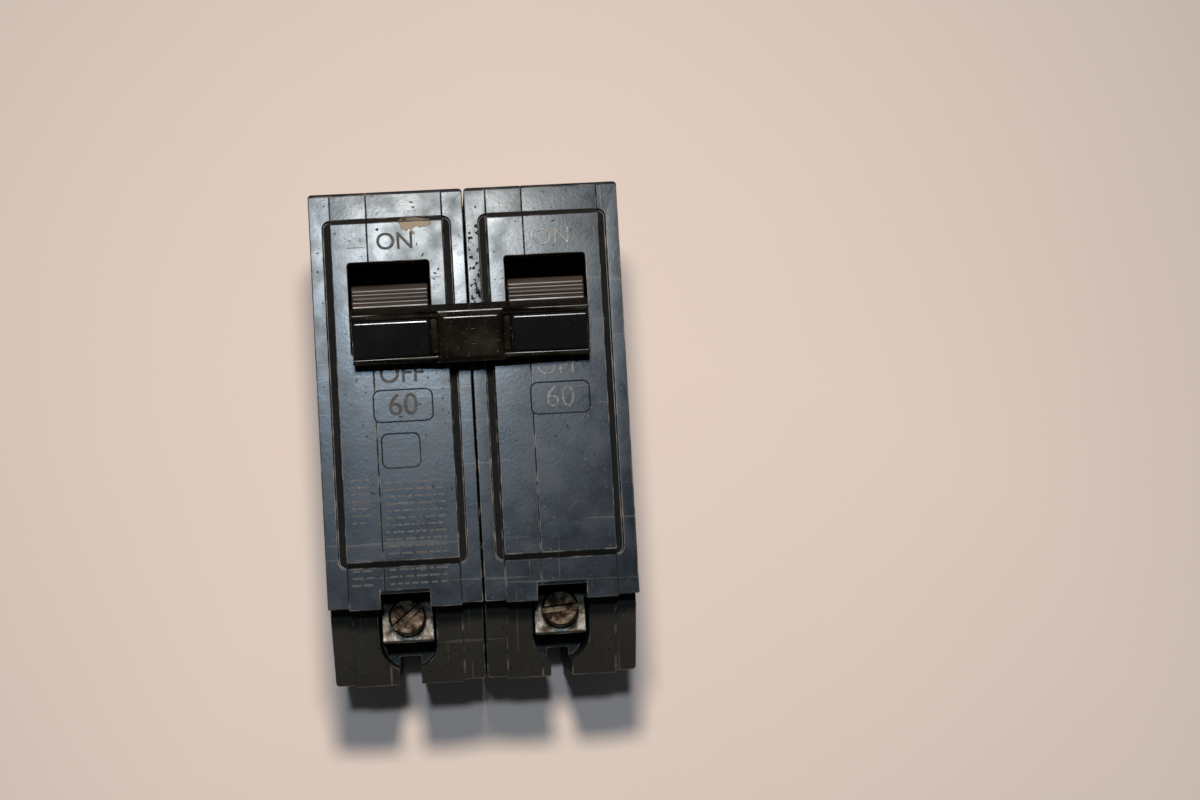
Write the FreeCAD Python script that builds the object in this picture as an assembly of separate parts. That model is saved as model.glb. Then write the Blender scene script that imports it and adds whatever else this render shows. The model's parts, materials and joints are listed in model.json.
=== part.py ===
import FreeCAD, Part
import math
import os

# Two-pole plug-in circuit breaker lying on its back, in millimetres.
# +X right, +Y towards the line (plug-in) end, +Z out of the front face.
# Origin: middle of the back face.

# ---- Case ----
pole_width = 25.25
pole_pitch = 25.55
length = 81.5
face_length = 68.4
flange_z = 58.5
shoulder_z = 58.9
block_z = 61.0
wall = 1.8
cover_share = 9.4
ledge_z = 49.5
ledge_run = 2.1
slope_foot_z = 41.0
side_step = 0.35
notch_floor_z = 5.0
notch_roof_z = 9.5
notch_depth = 5.25

# ---- Raised block, side grooves and handle window ----
block_width = 18.3
block_north = 35.3
block_south = -19.9
block_draft = 0.9
groove_width = 1.35
groove_depth = 1.2
window_width = 13.3
window_south = 13.7
window_north = 28.8

# ---- Wire pocket and drain slot at the load end ----
pocket_north = -24.0
pocket_width = 9.6
pocket_floor_z = 29.0
pocket_tip = 38.3
screw_notch_width = 8.0
screw_notch_north = -25.2
drain_width = 3.6
drain_depth = 4.4

# ---- Handle ----
pivot_y = 21.3
pivot_z = 51.5
handle_width = 12.6
drum_radius = 8.6
drum_half_angle = 48.0
handle_reach = 17.4
handle_thickness = 6.2
off_tilt = 20.0
pin_radius = 1.5
running_gap = 0.05
arm_pin_drop = 8.5
arm_pin_radius = 1.2
peg_height = 14.4
peg_radius = 1.2

# ---- Contacts and line end ----
handle_throw = 40.0
arm_swing = 36.0
arm_thickness = 3.0
contact_radius = 2.5
contact_z = 22.0
fixed_face_y = 28.35
moving_face_y = 28.2
strap_y = 29.55
strap_thickness = 1.6
jaw_floor_z = 4.6
jaw_roof_z = 13.6
jaw_south = 24.6
jaw_north = 38.4
stab_slot_width = 6.0
stab_slot_south = 23.6
jaw_room_width = 9.6

# ---- Trip unit ----
cradle_pivot = (3.0, 46.5)
cradle_thickness = 2.5
armature_pivot = (-9.0, 15.0)
armature_top_z = 44.0
trip_axis = (-12.8, 49.6)
trip_radius = 2.2
bimetal_y = -14.5
strap_foot_z = 11.4
lug_strap_z = 39.0
lug_strap_thickness = 1.3

# ---- Wire clamp ----
screw_y = -29.2
screw_radius = 2.4
screw_head_radius = 3.1
screw_head_z = 47.0
cage_width = 8.6
cage_south = -33.6
cage_north = -24.4
cage_top_z = 45.3
cage_bottom_z = 32.6
cage_wall = 1.2

# ---- Fasteners ----
rivet_radius = 1.5
rivet_places = [(35.8, 53.2), (19.2, 5.2), (-29.2, 20.0), (-18.6, 53.2)]
boss_radius = 3.2

half_pole = pole_width / 2
half_pitch = pole_pitch / 2
half_total = half_pitch + half_pole
north_y = length / 2
south_y = -length / 2
flange_south = north_y - face_length
parting_x = cover_share - half_pole
X_AXIS = FreeCAD.Vector(1, 0, 0)
Y_AXIS = FreeCAD.Vector(0, 1, 0)
Z_AXIS = FreeCAD.Vector(0, 0, 1)


# ---------------------------------------------------------------- helpers

def vec(x, y, z):
    return FreeCAD.Vector(x, y, z)


def box(x0, x1, y0, y1, z0, z1):
    return Part.makeBox(x1 - x0, y1 - y0, z1 - z0, vec(x0, y0, z0))


def prism_x(outline, x0, x1):
    """Side outline of (y, z) points, swept across the width."""
    points = [vec(x0, y, z) for y, z in outline]
    face = Part.Face(Part.makePolygon(points + points[:1]))
    return face.extrude(vec(x1 - x0, 0, 0))


def prism_y(outline, y0, y1):
    """End outline of (x, z) points, swept along the length."""
    points = [vec(x, y0, z) for x, z in outline]
    face = Part.Face(Part.makePolygon(points + points[:1]))
    return face.extrude(vec(0, y1 - y0, 0))


def prism_z(outline, z0, z1):
    """Plan outline of (x, y) points, raised from z0 to z1."""
    points = [vec(x, y, z0) for x, y in outline]
    face = Part.Face(Part.makePolygon(points + points[:1]))
    return face.extrude(vec(0, 0, z1 - z0))


def rod_x(y, z, radius, x0, x1):
    return Part.makeCylinder(radius, x1 - x0, vec(x0, y, z), X_AXIS)


def rod_y(x, z, radius, y0, y1):
    return Part.makeCylinder(radius, y1 - y0, vec(x, y0, z), Y_AXIS)


def rod_z(x, y, radius, z0, z1):
    return Part.makeCylinder(radius, z1 - z0, vec(x, y, z0), Z_AXIS)


def upright_edges(shape):
    """Edges that run straight up."""
    found = []
    for edge in shape.Edges:
        low, high = edge.Vertexes[0].Point, edge.Vertexes[-1].Point
        flat = abs(low.x - high.x) < 1e-6 and abs(low.y - high.y) < 1e-6
        if flat and abs(low.z - high.z) > 1e-6:
            found.append(edge)
    return found


def edges_along_x(shape):
    """Edges that run straight across the width."""
    found = []
    for edge in shape.Edges:
        low, high = edge.Vertexes[0].Point, edge.Vertexes[-1].Point
        level = abs(low.y - high.y) < 1e-6 and abs(low.z - high.z) < 1e-6
        if level and abs(low.x - high.x) > 1e-6:
            found.append(edge)
    return found


def round_path(points):
    """Straight runs joined by tangent arcs, as large as the runs allow."""
    edges = []
    start = points[0]
    for before, corner, after in zip(points, points[1:], points[2:]):
        back = (before - corner).normalize()
        ahead = (after - corner).normalize()
        shorter = min((before - corner).Length, (after - corner).Length)
        half_turn = (math.pi - back.getAngle(ahead)) / 2
        reach = 0.45 * shorter
        radius = reach / math.tan(half_turn)
        entry = corner + back * reach
        leave = corner + ahead * reach
        bisector = (back + ahead).normalize()
        centre = corner + bisector * (radius / math.cos(half_turn))
        middle = centre + (corner - centre).normalize() * radius
        edges.append(Part.LineSegment(start, entry).toShape())
        edges.append(Part.Arc(entry, middle, leave).toShape())
        start = leave
    edges.append(Part.LineSegment(start, points[-1]).toShape())
    return Part.Wire(edges)


def tube_along(path, radius):
    first = path.Edges[0]
    start = first.Vertexes[0].Point
    direction = first.tangentAt(first.FirstParameter)
    ring = Part.Wire(Part.makeCircle(radius, start, direction))
    return path.makePipeShell([ring], True, False)


def coil(start, end, coil_radius, wire_radius, pitch):
    """A helical spring whose axis runs from start to end."""
    axis = end - start
    helix = Part.makeHelix(pitch, axis.Length, coil_radius)
    ring = Part.Wire(Part.makeCircle(wire_radius, vec(coil_radius, 0, 0), Y_AXIS))
    spring = Part.Wire(helix).makePipeShell([ring], True, True)
    turn = FreeCAD.Rotation(Z_AXIS, axis)
    spring.Placement = FreeCAD.Placement(start, turn)
    return spring


def fuse_all(shapes):
    return shapes[0].multiFuse(shapes[1:]).removeSplitter()


def tilted(shape):
    """Turns an upright handle piece to the OFF position."""
    shape.rotate(vec(0, pivot_y, pivot_z), X_AXIS, off_tilt)
    return shape


def arm_pivot_at(tilt):
    """Where the contact arm hangs from the handle, for a handle tilt."""
    angle = math.radians(tilt)
    y = pivot_y + arm_pin_drop * math.sin(angle)
    z = pivot_z - arm_pin_drop * math.cos(angle)
    return y, z


def swung_open(shape):
    """Moves a contact arm piece from its closed place to the OFF one."""
    closed_y, closed_z = arm_pivot_at(off_tilt - handle_throw)
    open_y, open_z = arm_pivot_at(off_tilt)
    shape.rotate(vec(0, closed_y, closed_z), X_AXIS, -arm_swing)
    shape.translate(vec(0, open_y - closed_y, open_z - closed_z))
    return shape


# ---------------------------------------------------------------- case

def case_outline(step):
    """Side outline: face, ledge and slope of the load end, rail notch, back.
    step sets the load end back."""
    end_y = south_y + step
    foot_y = end_y + 0.7
    notch_y = south_y + notch_depth
    face_y = flange_south + step
    return [
        (north_y, 0.8), (north_y - 0.8, 0), (foot_y + 1.0, 0), (foot_y, 1.0),
        (foot_y, notch_floor_z), (notch_y, notch_floor_z), (notch_y, notch_roof_z),
        (end_y, notch_roof_z), (end_y, slope_foot_z), (face_y - ledge_run, ledge_z),
        (face_y, ledge_z), (face_y, flange_z),
        (north_y - 0.5, flange_z), (north_y, flange_z - 0.5),
    ]


def outer_shell():
    """The solid pole: its middle stands proud of its two sides at the load end."""
    half = block_width / 2
    middle = prism_x(case_outline(0), -half, half)
    sides = [prism_x(case_outline(side_step), low, high)
             for low, high in ((-half_pole, -half), (half, half_pole))]
    shell = fuse_all([middle] + sides)
    corners = [edge for edge in upright_edges(shell)
               if edge.Length > 30 and abs(edge.Vertexes[0].Point.x) > half_pole - 0.01]
    return shell.makeFillet(0.6, corners)


def raised_block():
    """The drafted block on the face and the low strip that it stands on."""
    half = block_width / 2
    strip = box(-half, half, flange_south, north_y - 0.5, flange_z - 1, shoulder_z)
    sides = [
        (block_north + block_draft, shoulder_z - 1), (block_north + block_draft, shoulder_z),
        (block_north, block_z), (block_south, block_z),
        (block_south - block_draft, shoulder_z), (block_south - block_draft, shoulder_z - 1),
    ]
    block = prism_x(sides, -half, half)
    return fuse_all([strip, block])


def side_grooves():
    """A channel along each long side of the block, its outer corners round."""
    grooves = []
    for side in (-1, 1):
        near = side * block_width / 2
        far = near + side * groove_width
        channel = box(min(near, far), max(near, far), block_south - block_draft,
                      block_north + block_draft, flange_z - groove_depth, block_z + 1)
        outer = [edge for edge in upright_edges(channel)
                 if abs(abs(edge.Vertexes[0].Point.x) - abs(far)) < 1e-6]
        grooves.append(channel.makeFillet(groove_width * 0.95, outer))
    return grooves


def wire_pocket():
    """The U-shaped pocket of the wire clamp, and the screw's notch above it."""
    half = pocket_width / 2
    round_y = half - pocket_tip
    room = box(-half, half, round_y, pocket_north, pocket_floor_z, ledge_z + 0.01)
    tip = rod_z(0, round_y, half, pocket_floor_z, ledge_z + 0.01)
    notch = box(-screw_notch_width / 2, screw_notch_width / 2, flange_south - 4,
                screw_notch_north, ledge_z - 1, block_z)
    lip = [(screw_notch_north - 0.1, shoulder_z - 0.7), (screw_notch_north + 0.7, shoulder_z + 0.1),
           (screw_notch_north - 1, shoulder_z + 0.1)]
    lead_in = prism_x(lip, -screw_notch_width / 2, screw_notch_width / 2)
    drain = box(-drain_width / 2, drain_width / 2, south_y - 1, south_y + drain_depth,
                -1, ledge_z)
    return fuse_all([room, tip, notch, lead_in, drain])


def handle_window():
    window = box(-window_width / 2, window_width / 2, window_south, window_north,
                 flange_z - 8, block_z + 1)
    return window.makeFillet(0.5, upright_edges(window))


def mechanism_room():
    """The sealed room of the switch and trip unit."""
    roof = flange_z - groove_depth - 1.2
    outline = [
        (north_y - 2.1, 15.6), (north_y - 2.1, roof), (-21.5, roof), (-21.5, 29),
        (-22.4, 27), (-22.4, 2.4), (22.0, 2.4), (22.0, 15.6),
    ]
    return prism_x(outline, wall - half_pole, half_pole - wall)


def clamp_cellar():
    """The hollow under the wire pocket, around one of the rivets."""
    return box(wall - half_pole, half_pole - wall, -34.4, -24.4, 11.6, pocket_floor_z - 1.8)


def jaw_room():
    """The jaw's room and the slot that the panel's stab enters by."""
    room = box(-jaw_room_width / 2, jaw_room_width / 2, stab_slot_south + 0.4,
               north_y - 2.0, jaw_floor_z - 0.3, 14.2)
    mouth = box(-stab_slot_width / 2, stab_slot_width / 2, stab_slot_south,
                north_y + 1, -1, jaw_roof_z - 1)
    lead = prism_y([(-stab_slot_width / 2 - 1.2, -0.1), (stab_slot_width / 2 + 1.2, -0.1),
                    (stab_slot_width / 2 - 0.1, 1.2), (0.1 - stab_slot_width / 2, 1.2)],
                   stab_slot_south, north_y + 1)
    riser = box(-4.2, 4.2, strap_y - 0.2, strap_y + strap_thickness + 0.2, 12, 17)
    return fuse_all([room, mouth, lead, riser])


def case_passages():
    """Holes for the pins, trip bar, straps, calibration screw and arc gas."""
    reach = half_pole - wall + 0.9
    return [
        rod_x(pivot_y, pivot_z, pin_radius + 0.01, -reach, reach),
        rod_x(cradle_pivot[0], cradle_pivot[1], 1.21, -reach, reach),
        rod_x(armature_pivot[0], armature_pivot[1], 1.01, -reach, reach),
        box(-2.9, 2.9, -25, -20, lug_strap_z - 0.2, lug_strap_z + lug_strap_thickness + 0.2),
        rod_z(0, -17.6, 1.7, -1, 5),
        rod_z(0, -17.6, 2.8, -1, 1.3),
        box(1, 7, north_y - 3, north_y + 1, 44, 46.5),
        box(1, 7, north_y - 3, north_y + 1, 49, 51.5),
    ]


def rivet_bosses():
    half = half_pole - wall + 0.5
    return [rod_x(y, z, boss_radius, -half, half) for y, z in rivet_places]


def pin_bosses():
    """Collars on both side walls that carry the pivot pins."""
    collars = []
    for (y, z), radius, depth in (((pivot_y, pivot_z), 3.0, 2.6),
                                  (cradle_pivot, 2.6, 5.2), (armature_pivot, 2.2, 3.4)):
        for side in (-1, 1):
            near = side * (half_pole - wall + 0.5)
            far = side * (half_pole - wall - depth)
            collars.append(rod_x(y, z, radius, min(near, far), max(near, far)))
    return collars


def side_panels():
    """Shallow panels moulded in both outer side walls of a pole."""
    outline = [(33.0, 20.0), (33.0, 47.0), (-14.0, 47.0), (-14.0, 20.0)]
    panels = []
    for side in (-1, 1):
        near = side * half_pole
        far = side * (half_pole - 0.35)
        panel = prism_x(outline, min(near, far), max(near, far))
        panels.append(panel.makeFillet(2.0, edges_along_x(panel)))
    return panels


def pole_case(outer_side):
    """One pole's case, whole. outer_side is -1 on the left and 1 on the right."""
    shell = fuse_all([outer_shell(), raised_block()])
    shell = shell.cut(side_grooves() + [handle_window(), wire_pocket()] + side_panels())
    shell = shell.cut([mechanism_room(), clamp_cellar(), jaw_room()])
    shell = shell.fuse(rivet_bosses() + pin_bosses())
    rivet_holes = [rod_x(y, z, rivet_radius + 0.02, -20, 20) for y, z in rivet_places]
    head = outer_side * half_pole
    recesses = [rod_x(y, z, 3.3, min(head, head - outer_side), max(head, head - outer_side))
                for y, z in rivet_places]
    trip_y, trip_z = trip_axis
    inner = -outer_side * (half_pole + 1)
    stop = outer_side * (half_pole - wall + 0.9)
    bar_hole = rod_x(trip_y, trip_z, trip_radius + running_gap, min(inner, stop), max(inner, stop))
    return shell.cut(rivet_holes + recesses + case_passages() + [bar_hole])


def split_case(case):
    """The cover is the thinner left part, the base the deeper right one."""
    cover = case.common(box(-20, parting_x, -60, 60, -5, 80))
    base = case.common(box(parting_x, 20, -60, 60, -5, 80))
    return cover, base


def case_rivets():
    rivets = []
    for y, z in rivet_places:
        shank = rod_x(y, z, rivet_radius, 0.9 - half_total, half_total - 0.9)
        for side in (-1, 1):
            near = side * (half_total - 0.1)
            far = side * (half_total - 0.95)
            shank = shank.fuse(rod_x(y, z, 2.9, min(near, far), max(near, far)))
            eye = rod_x(y, z, 0.9, min(near, near - side * 2), max(near, near - side * 2))
            shank = shank.cut(eye)
        rivets.append(shank.removeSplitter())
    return Part.makeCompound(rivets)


# ---------------------------------------------------------------- handle

def handle():
    """Drum, grip and the two legs that carry the contact arm."""
    half = handle_width / 2
    base_z = pivot_z + drum_radius - 1.5
    top_z = pivot_z + handle_reach
    thick = handle_thickness / 2
    sector = Part.makeCylinder(drum_radius, handle_width, vec(-half, pivot_y, pivot_z),
                               X_AXIS, 2 * drum_half_angle)
    sector.rotate(vec(0, pivot_y, pivot_z), X_AXIS, sector_start())
    for offset in (-36.0, -27.0, 27.0, 36.0):
        angle = math.radians(offset)
        y = pivot_y + drum_radius * math.sin(angle)
        z = pivot_z + drum_radius * math.cos(angle)
        sector = sector.cut(rod_x(y, z, 0.35, -half - 1, half + 1))
    hub = rod_x(pivot_y, pivot_z, 3.6, -half, half)
    grip = prism_x([(pivot_y - thick + 0.5, base_z), (pivot_y - thick, top_z - 4),
                    (pivot_y - thick, top_z), (pivot_y + thick, top_z),
                    (pivot_y + thick, top_z - 4), (pivot_y + thick - 0.5, base_z)],
                   -half, half)
    rims = [edge for edge in grip.Edges if edge.BoundBox.ZMin > top_z - 0.01]
    grip = grip.makeFillet(0.6, rims)
    legs = []
    for side in (-1, 1):
        inner, outer = side * 4.2, side * half
        x0, x1 = min(inner, outer), max(inner, outer)
        legs.append(box(x0, x1, pivot_y - 2.2, pivot_y + 2.2, pivot_z - arm_pin_drop, pivot_z))
        legs.append(rod_x(pivot_y, pivot_z - arm_pin_drop, 2.2, x0, x1))
    body = fuse_all([sector, hub, grip] + legs)
    bore = rod_x(pivot_y, pivot_z, pin_radius + running_gap, -half - 1, half + 1)
    arm_bore = rod_x(pivot_y, pivot_z - arm_pin_drop, arm_pin_radius, -half - 1, half + 1)
    return body.cut([bore, arm_bore])


def sector_start():
    """Turn that centres a fresh cylinder sector on the upright direction."""
    probe = Part.makeCylinder(1, 1, vec(0, 0, 0), X_AXIS, 2 * drum_half_angle)
    centre = probe.CenterOfMass
    return 90 - math.degrees(math.atan2(centre.z, centre.y))


def peg_socket(side):
    """Socket for the tie's peg in the handle side that faces the other pole."""
    near = side * (handle_width / 2 - 2.4)
    far = side * (handle_width / 2 + 1)
    return rod_x(pivot_y, pivot_z + peg_height, peg_radius + 0.03, min(near, far), max(near, far))


def handle_tie():
    """Two straps along the handles, joined by a block with two pegs."""
    thick = handle_thickness / 2
    reach = half_pitch + handle_width / 2
    low = pivot_z + 12.2
    high = pivot_z + handle_reach - 0.3
    straps = []
    for side in (-1, 1):
        near = pivot_y + side * (thick + 0.1)
        far = pivot_y + side * (thick + 1.1)
        straps.append(box(-reach, reach, min(near, far), max(near, far), low, high))
    block = box(-5.25, 5.25, pivot_y - thick - 1.1, pivot_y + thick + 1.1,
                low, pivot_z + handle_reach + 0.5)
    top = [edge for edge in block.Edges if edge.BoundBox.ZMin > pivot_z + handle_reach]
    block = block.makeChamfer(0.9, top)
    inner = half_pitch - handle_width / 2
    peg = rod_x(pivot_y, pivot_z + peg_height, peg_radius, -inner - 2.2, inner + 2.2)
    return fuse_all([block] + straps + [peg])


def handle_pivot_pin():
    reach = half_pole - wall + 0.8
    return rod_x(pivot_y, pivot_z, pin_radius, -reach, reach)


def arm_pivot_pin():
    half = handle_width / 2 - 0.2
    return rod_x(pivot_y, pivot_z - arm_pin_drop, arm_pin_radius, -half, half)


# ---------------------------------------------------------------- contacts

def contact_arm():
    """Flat blade, shown closed before it is swung to the OFF place."""
    top_y, top_z = arm_pivot_at(off_tilt - handle_throw)
    half = arm_thickness / 2
    seat = moving_face_y - 1.5
    outline = [
        (top_y - 2.6, top_z + 0.6), (top_y + 2.4, top_z + 0.9), (seat, contact_z + 4.4),
        (seat, contact_z - 3.2), (seat - 3.2, contact_z - 3.2), (seat - 4.0, contact_z + 2.6),
    ]
    blade = prism_x(outline, -half, half)
    eye = rod_x(top_y, top_z, 2.9, -half, half)
    bore = rod_x(top_y, top_z, arm_pin_radius + running_gap, -9, 9)
    hook = rod_x(top_y + 2.0, top_z - 11.5, 0.6, -9, 9)
    return blade.fuse(eye).removeSplitter().cut([bore, hook])


def moving_contact():
    return rod_y(0, contact_z, contact_radius, moving_face_y - 1.5, moving_face_y)


def fixed_contact():
    return rod_y(0, contact_z, contact_radius, fixed_face_y, strap_y)


def line_strap():
    """Carries the fixed contact; its foot is fixed on the jaw's bridge."""
    riser = box(-3.9, 3.9, strap_y, strap_y + strap_thickness, jaw_roof_z, 25.6)
    return riser


def stab_jaw():
    """Two sprung copper cheeks under one bridge; flared where the stab enters."""
    floor, roof = jaw_floor_z, jaw_roof_z
    cheek = [(0.8, floor + 2.6), (1.9, floor), (2.7, floor + 0.3), (1.75, floor + 2.9),
             (2.5, roof - 1.6), (2.5, roof), (0, roof), (0, roof - 1.1), (1.4, roof - 1.1),
             (1.4, roof - 1.8)]
    mirrored = [(-x, z) for x, z in reversed(cheek)]
    right = prism_y(cheek, jaw_south, jaw_north)
    left = prism_y(mirrored, jaw_south, jaw_north)
    split = box(-4, 4, 31.3, 31.9, floor - 1, roof - 2.4)
    return right.fuse(left).removeSplitter().cut(split)


def jaw_spring():
    """Steel clip over the jaw, pressing its cheeks together."""
    outer, inner = 3.5, 2.8
    top, under, floor = 14.1, 13.7, jaw_floor_z + 1.6
    legs = [box(side_low, side_high, 26.4, 29.2, floor, top)
            for side_low, side_high in ((-outer, -inner), (inner, outer))]
    bridge = box(-outer, outer, 26.4, 29.2, under, top)
    return fuse_all(legs + [bridge])


def arc_plates():
    """Five slotted steel plates that split and cool the arc."""
    plates = []
    for level in range(5):
        z = 27.0 + 3.0 * level
        plate = box(-8.5, 8.5, 28.8, 37.8, z, z + 1.0)
        throat = prism_z([(-3.2, 28), (3.2, 28), (1.6, 33.6), (-1.6, 33.6)], z - 1, z + 2)
        plates.append(plate.cut(throat))
    return Part.makeCompound(plates)


def arc_frame():
    """Fibre sides and back that hold the arc plates."""
    sides = [box(low, high, 28.8, 38.5, 25.9, 41.2) for low, high in ((-9.4, -8.5), (8.5, 9.4))]
    back = box(-9.4, 9.4, 37.8, 38.5, 25.9, 41.2)
    return fuse_all(sides + [back])


# ---------------------------------------------------------------- trip unit

def cradle():
    """Latch lever: its nose rests over the armature's ledge, its tail pulls the spring."""
    y, z = cradle_pivot
    half = cradle_thickness / 2
    outline = [
        (y - 2.6, z + 1.6), (y + 2.4, z + 1.4), (y + 8.0, z - 6.6), (y + 7.4, z - 9.4),
        (y + 4.6, z - 8.6), (y + 0.6, z - 2.8), (-6.2, 43.6), (-6.9, 42.5), (-8.6, 42.5),
        (-8.6, 43.9), (-7.0, 45.6),
    ]
    plate = prism_x(outline, -half, half).fuse(rod_x(y, z, 2.9, -half, half))
    bore = rod_x(y, z, 1.25, -9, 9)
    hook = rod_x(y + 6.2, z - 7.6, 0.6, -9, 9)
    return plate.removeSplitter().cut([bore, hook])


def cradle_pin():
    reach = half_pole - wall + 0.8
    return rod_x(cradle_pivot[0], cradle_pivot[1], 1.2, -reach, reach)


def toggle_spring():
    """Extension spring between the cradle's tail and the contact arm."""
    tail = vec(0, cradle_pivot[0] + 8.6, cradle_pivot[1] - 9.0)
    open_y, open_z = arm_pivot_at(off_tilt)
    hold = vec(0, open_y - 6.9, open_z - 10.4)
    return coil(tail, hold, 1.5, 0.3, 0.85)


def bimetal():
    return box(-3.5, 3.5, bimetal_y - 0.5, bimetal_y + 0.5, strap_foot_z + lug_strap_thickness, 44.0)


def magnet_yoke():
    """U of soft steel around the bimetal, open towards the armature."""
    back = box(-5.4, 5.4, -17.9, -16.4, 22, 32)
    cheeks = [box(low, high, -16.4, -12.4, 22, 32) for low, high in ((-5.4, -4.2), (4.2, 5.4))]
    return fuse_all([back] + cheeks)


def armature():
    """Hinged plate that the yoke pulls; a ledge near its top holds the cradle."""
    y, z = armature_pivot
    plate = box(-4.6, 4.6, -10.2, -9.2, z, armature_top_z)
    curl = rod_x(y, z, 1.9, -4.6, 4.6)
    ledge = box(-2.4, 2.4, -9.3, -8.1, 41.0, 42.0)
    bore = rod_x(y, z, 1.05, -9, 9)
    return fuse_all([plate, curl, ledge]).cut(bore)


def armature_pin():
    reach = half_pole - wall + 0.8
    return rod_x(armature_pivot[0], armature_pivot[1], 1.0, -reach, reach)


def load_strap():
    """From inside the wire clamp, through the case wall, down to the bimetal."""
    half = 2.7
    top = box(-half, half, -33.2, -20.0, lug_strap_z, lug_strap_z + lug_strap_thickness)
    drop = box(-half, half, -21.3, -20.0, strap_foot_z, lug_strap_z + lug_strap_thickness)
    foot = box(-half, half, -21.3, -13.4, strap_foot_z, strap_foot_z + lug_strap_thickness)
    return fuse_all([top, drop, foot])


def braid():
    """Flexible lead from the free end of the bimetal to the contact arm."""
    points = [vec(0.4, -16.1, 40.2), vec(6.6, -16.1, 40.0), vec(8.4, -8.5, 37.8),
              vec(8.3, 1.0, 34.2), vec(7.6, 9.5, 31.0), vec(6.0, 16.5, 30.2),
              vec(2.8, 21.6, 31.6)]
    return tube_along(round_path(points), 0.95)


def calibration_screw():
    """Set from the back of the case; its tip bears on the strap's foot."""
    shank = rod_z(0, -17.6, 1.5, 1.0, strap_foot_z)
    head = rod_z(0, -17.6, 2.5, 0.2, 1.25)
    slot = box(-3, 3, -17.95, -17.25, 0, 0.75)
    return shank.fuse(head).removeSplitter().cut(slot)


def trip_bar():
    """One insulating bar through both poles, with a finger in each."""
    y, z = trip_axis
    reach = half_total - wall + 0.8
    bar = rod_x(y, z, trip_radius, -reach, reach)
    fingers = [box(centre - 3, centre + 3, y + 0.6, y + 1.9, 44.6, z)
               for centre in (-half_pitch, half_pitch)]
    return fuse_all([bar] + fingers)


# ---------------------------------------------------------------- wire clamp

def wire_cage():
    """Box that climbs on the screw and pinches the wire against the strap."""
    half = cage_width / 2
    block = box(-half, half, cage_south, cage_north, cage_bottom_z, cage_top_z)
    rims = edges_along_x(block)
    block = block.makeFillet(0.5, rims)
    inside = box(cage_wall - half, half - cage_wall, cage_south - 1, cage_north + 1,
                 cage_bottom_z + 1.4, cage_top_z - 2.0)
    thread = rod_z(0, screw_y, screw_radius + running_gap, cage_top_z - 3, cage_top_z + 1)
    return block.cut([inside, thread])


def lug_screw():
    """Slotted binding head; the shank's tip stands on the load strap."""
    tip = lug_strap_z + lug_strap_thickness + 0.1
    shank = rod_z(0, screw_y, screw_radius, tip, screw_head_z)
    tip_rim = [edge for edge in shank.Edges if edge.BoundBox.ZMax < tip + 0.01]
    shank = shank.makeChamfer(0.4, tip_rim[:1])
    head = rod_z(0, screw_y, screw_head_radius, screw_head_z, screw_head_z + 2.1)
    rim = [edge for edge in head.Edges if edge.BoundBox.ZMin > screw_head_z + 2.0]
    head = head.makeFillet(0.5, rim[:1])
    slot = box(-5, 5, screw_y - 0.55, screw_y + 0.55, screw_head_z + 0.9, screw_head_z + 3)
    return shank.fuse(head).removeSplitter().cut(slot)


# ---------------------------------------------------------------- assembly

slot_turns = {"left": 38.0, "right": 4.0}


def pole_pieces(name, side):
    """Every piece of one pole, around the pole's own middle plane."""
    cover, base = split_case(pole_case(side))
    lever = handle().cut(peg_socket(-side))
    screw = lug_screw()
    screw.rotate(vec(0, screw_y, 0), Z_AXIS, slot_turns[name])
    return {
        "case_cover": cover, "case_base": base,
        "handle": tilted(lever), "handle_pivot_pin": handle_pivot_pin(),
        "arm_pivot_pin": tilted(arm_pivot_pin()),
        "contact_arm": swung_open(contact_arm()),
        "moving_contact": swung_open(moving_contact()),
        "fixed_contact": fixed_contact(), "line_strap": line_strap(),
        "stab_jaw": stab_jaw(), "jaw_spring": jaw_spring(),
        "arc_plates": arc_plates(), "arc_frame": arc_frame(),
        "cradle": cradle(), "cradle_pin": cradle_pin(), "toggle_spring": toggle_spring(),
        "bimetal": bimetal(), "magnet_yoke": magnet_yoke(),
        "armature": armature(), "armature_pin": armature_pin(),
        "load_strap": load_strap(), "braid": braid(),
        "calibration_screw": calibration_screw(),
        "wire_cage": wire_cage(), "lug_screw": screw,
    }


os.makedirs("parts", exist_ok=True)
nodes = {"handle_tie": tilted(handle_tie()), "trip_bar": trip_bar(), "case_rivets": case_rivets()}
for name, side in (("left", -1), ("right", 1)):
    for piece, shape in pole_pieces(name, side).items():
        shape.translate(vec(side * half_pitch, 0, 0))
        nodes[piece + "_" + name] = shape
for node, shape in nodes.items():
    shape.exportStep("parts/" + node + ".step")
    print(node, len(shape.Solids), "valid" if shape.isValid() else "INVALID",
          round(shape.Volume, 1))
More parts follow.
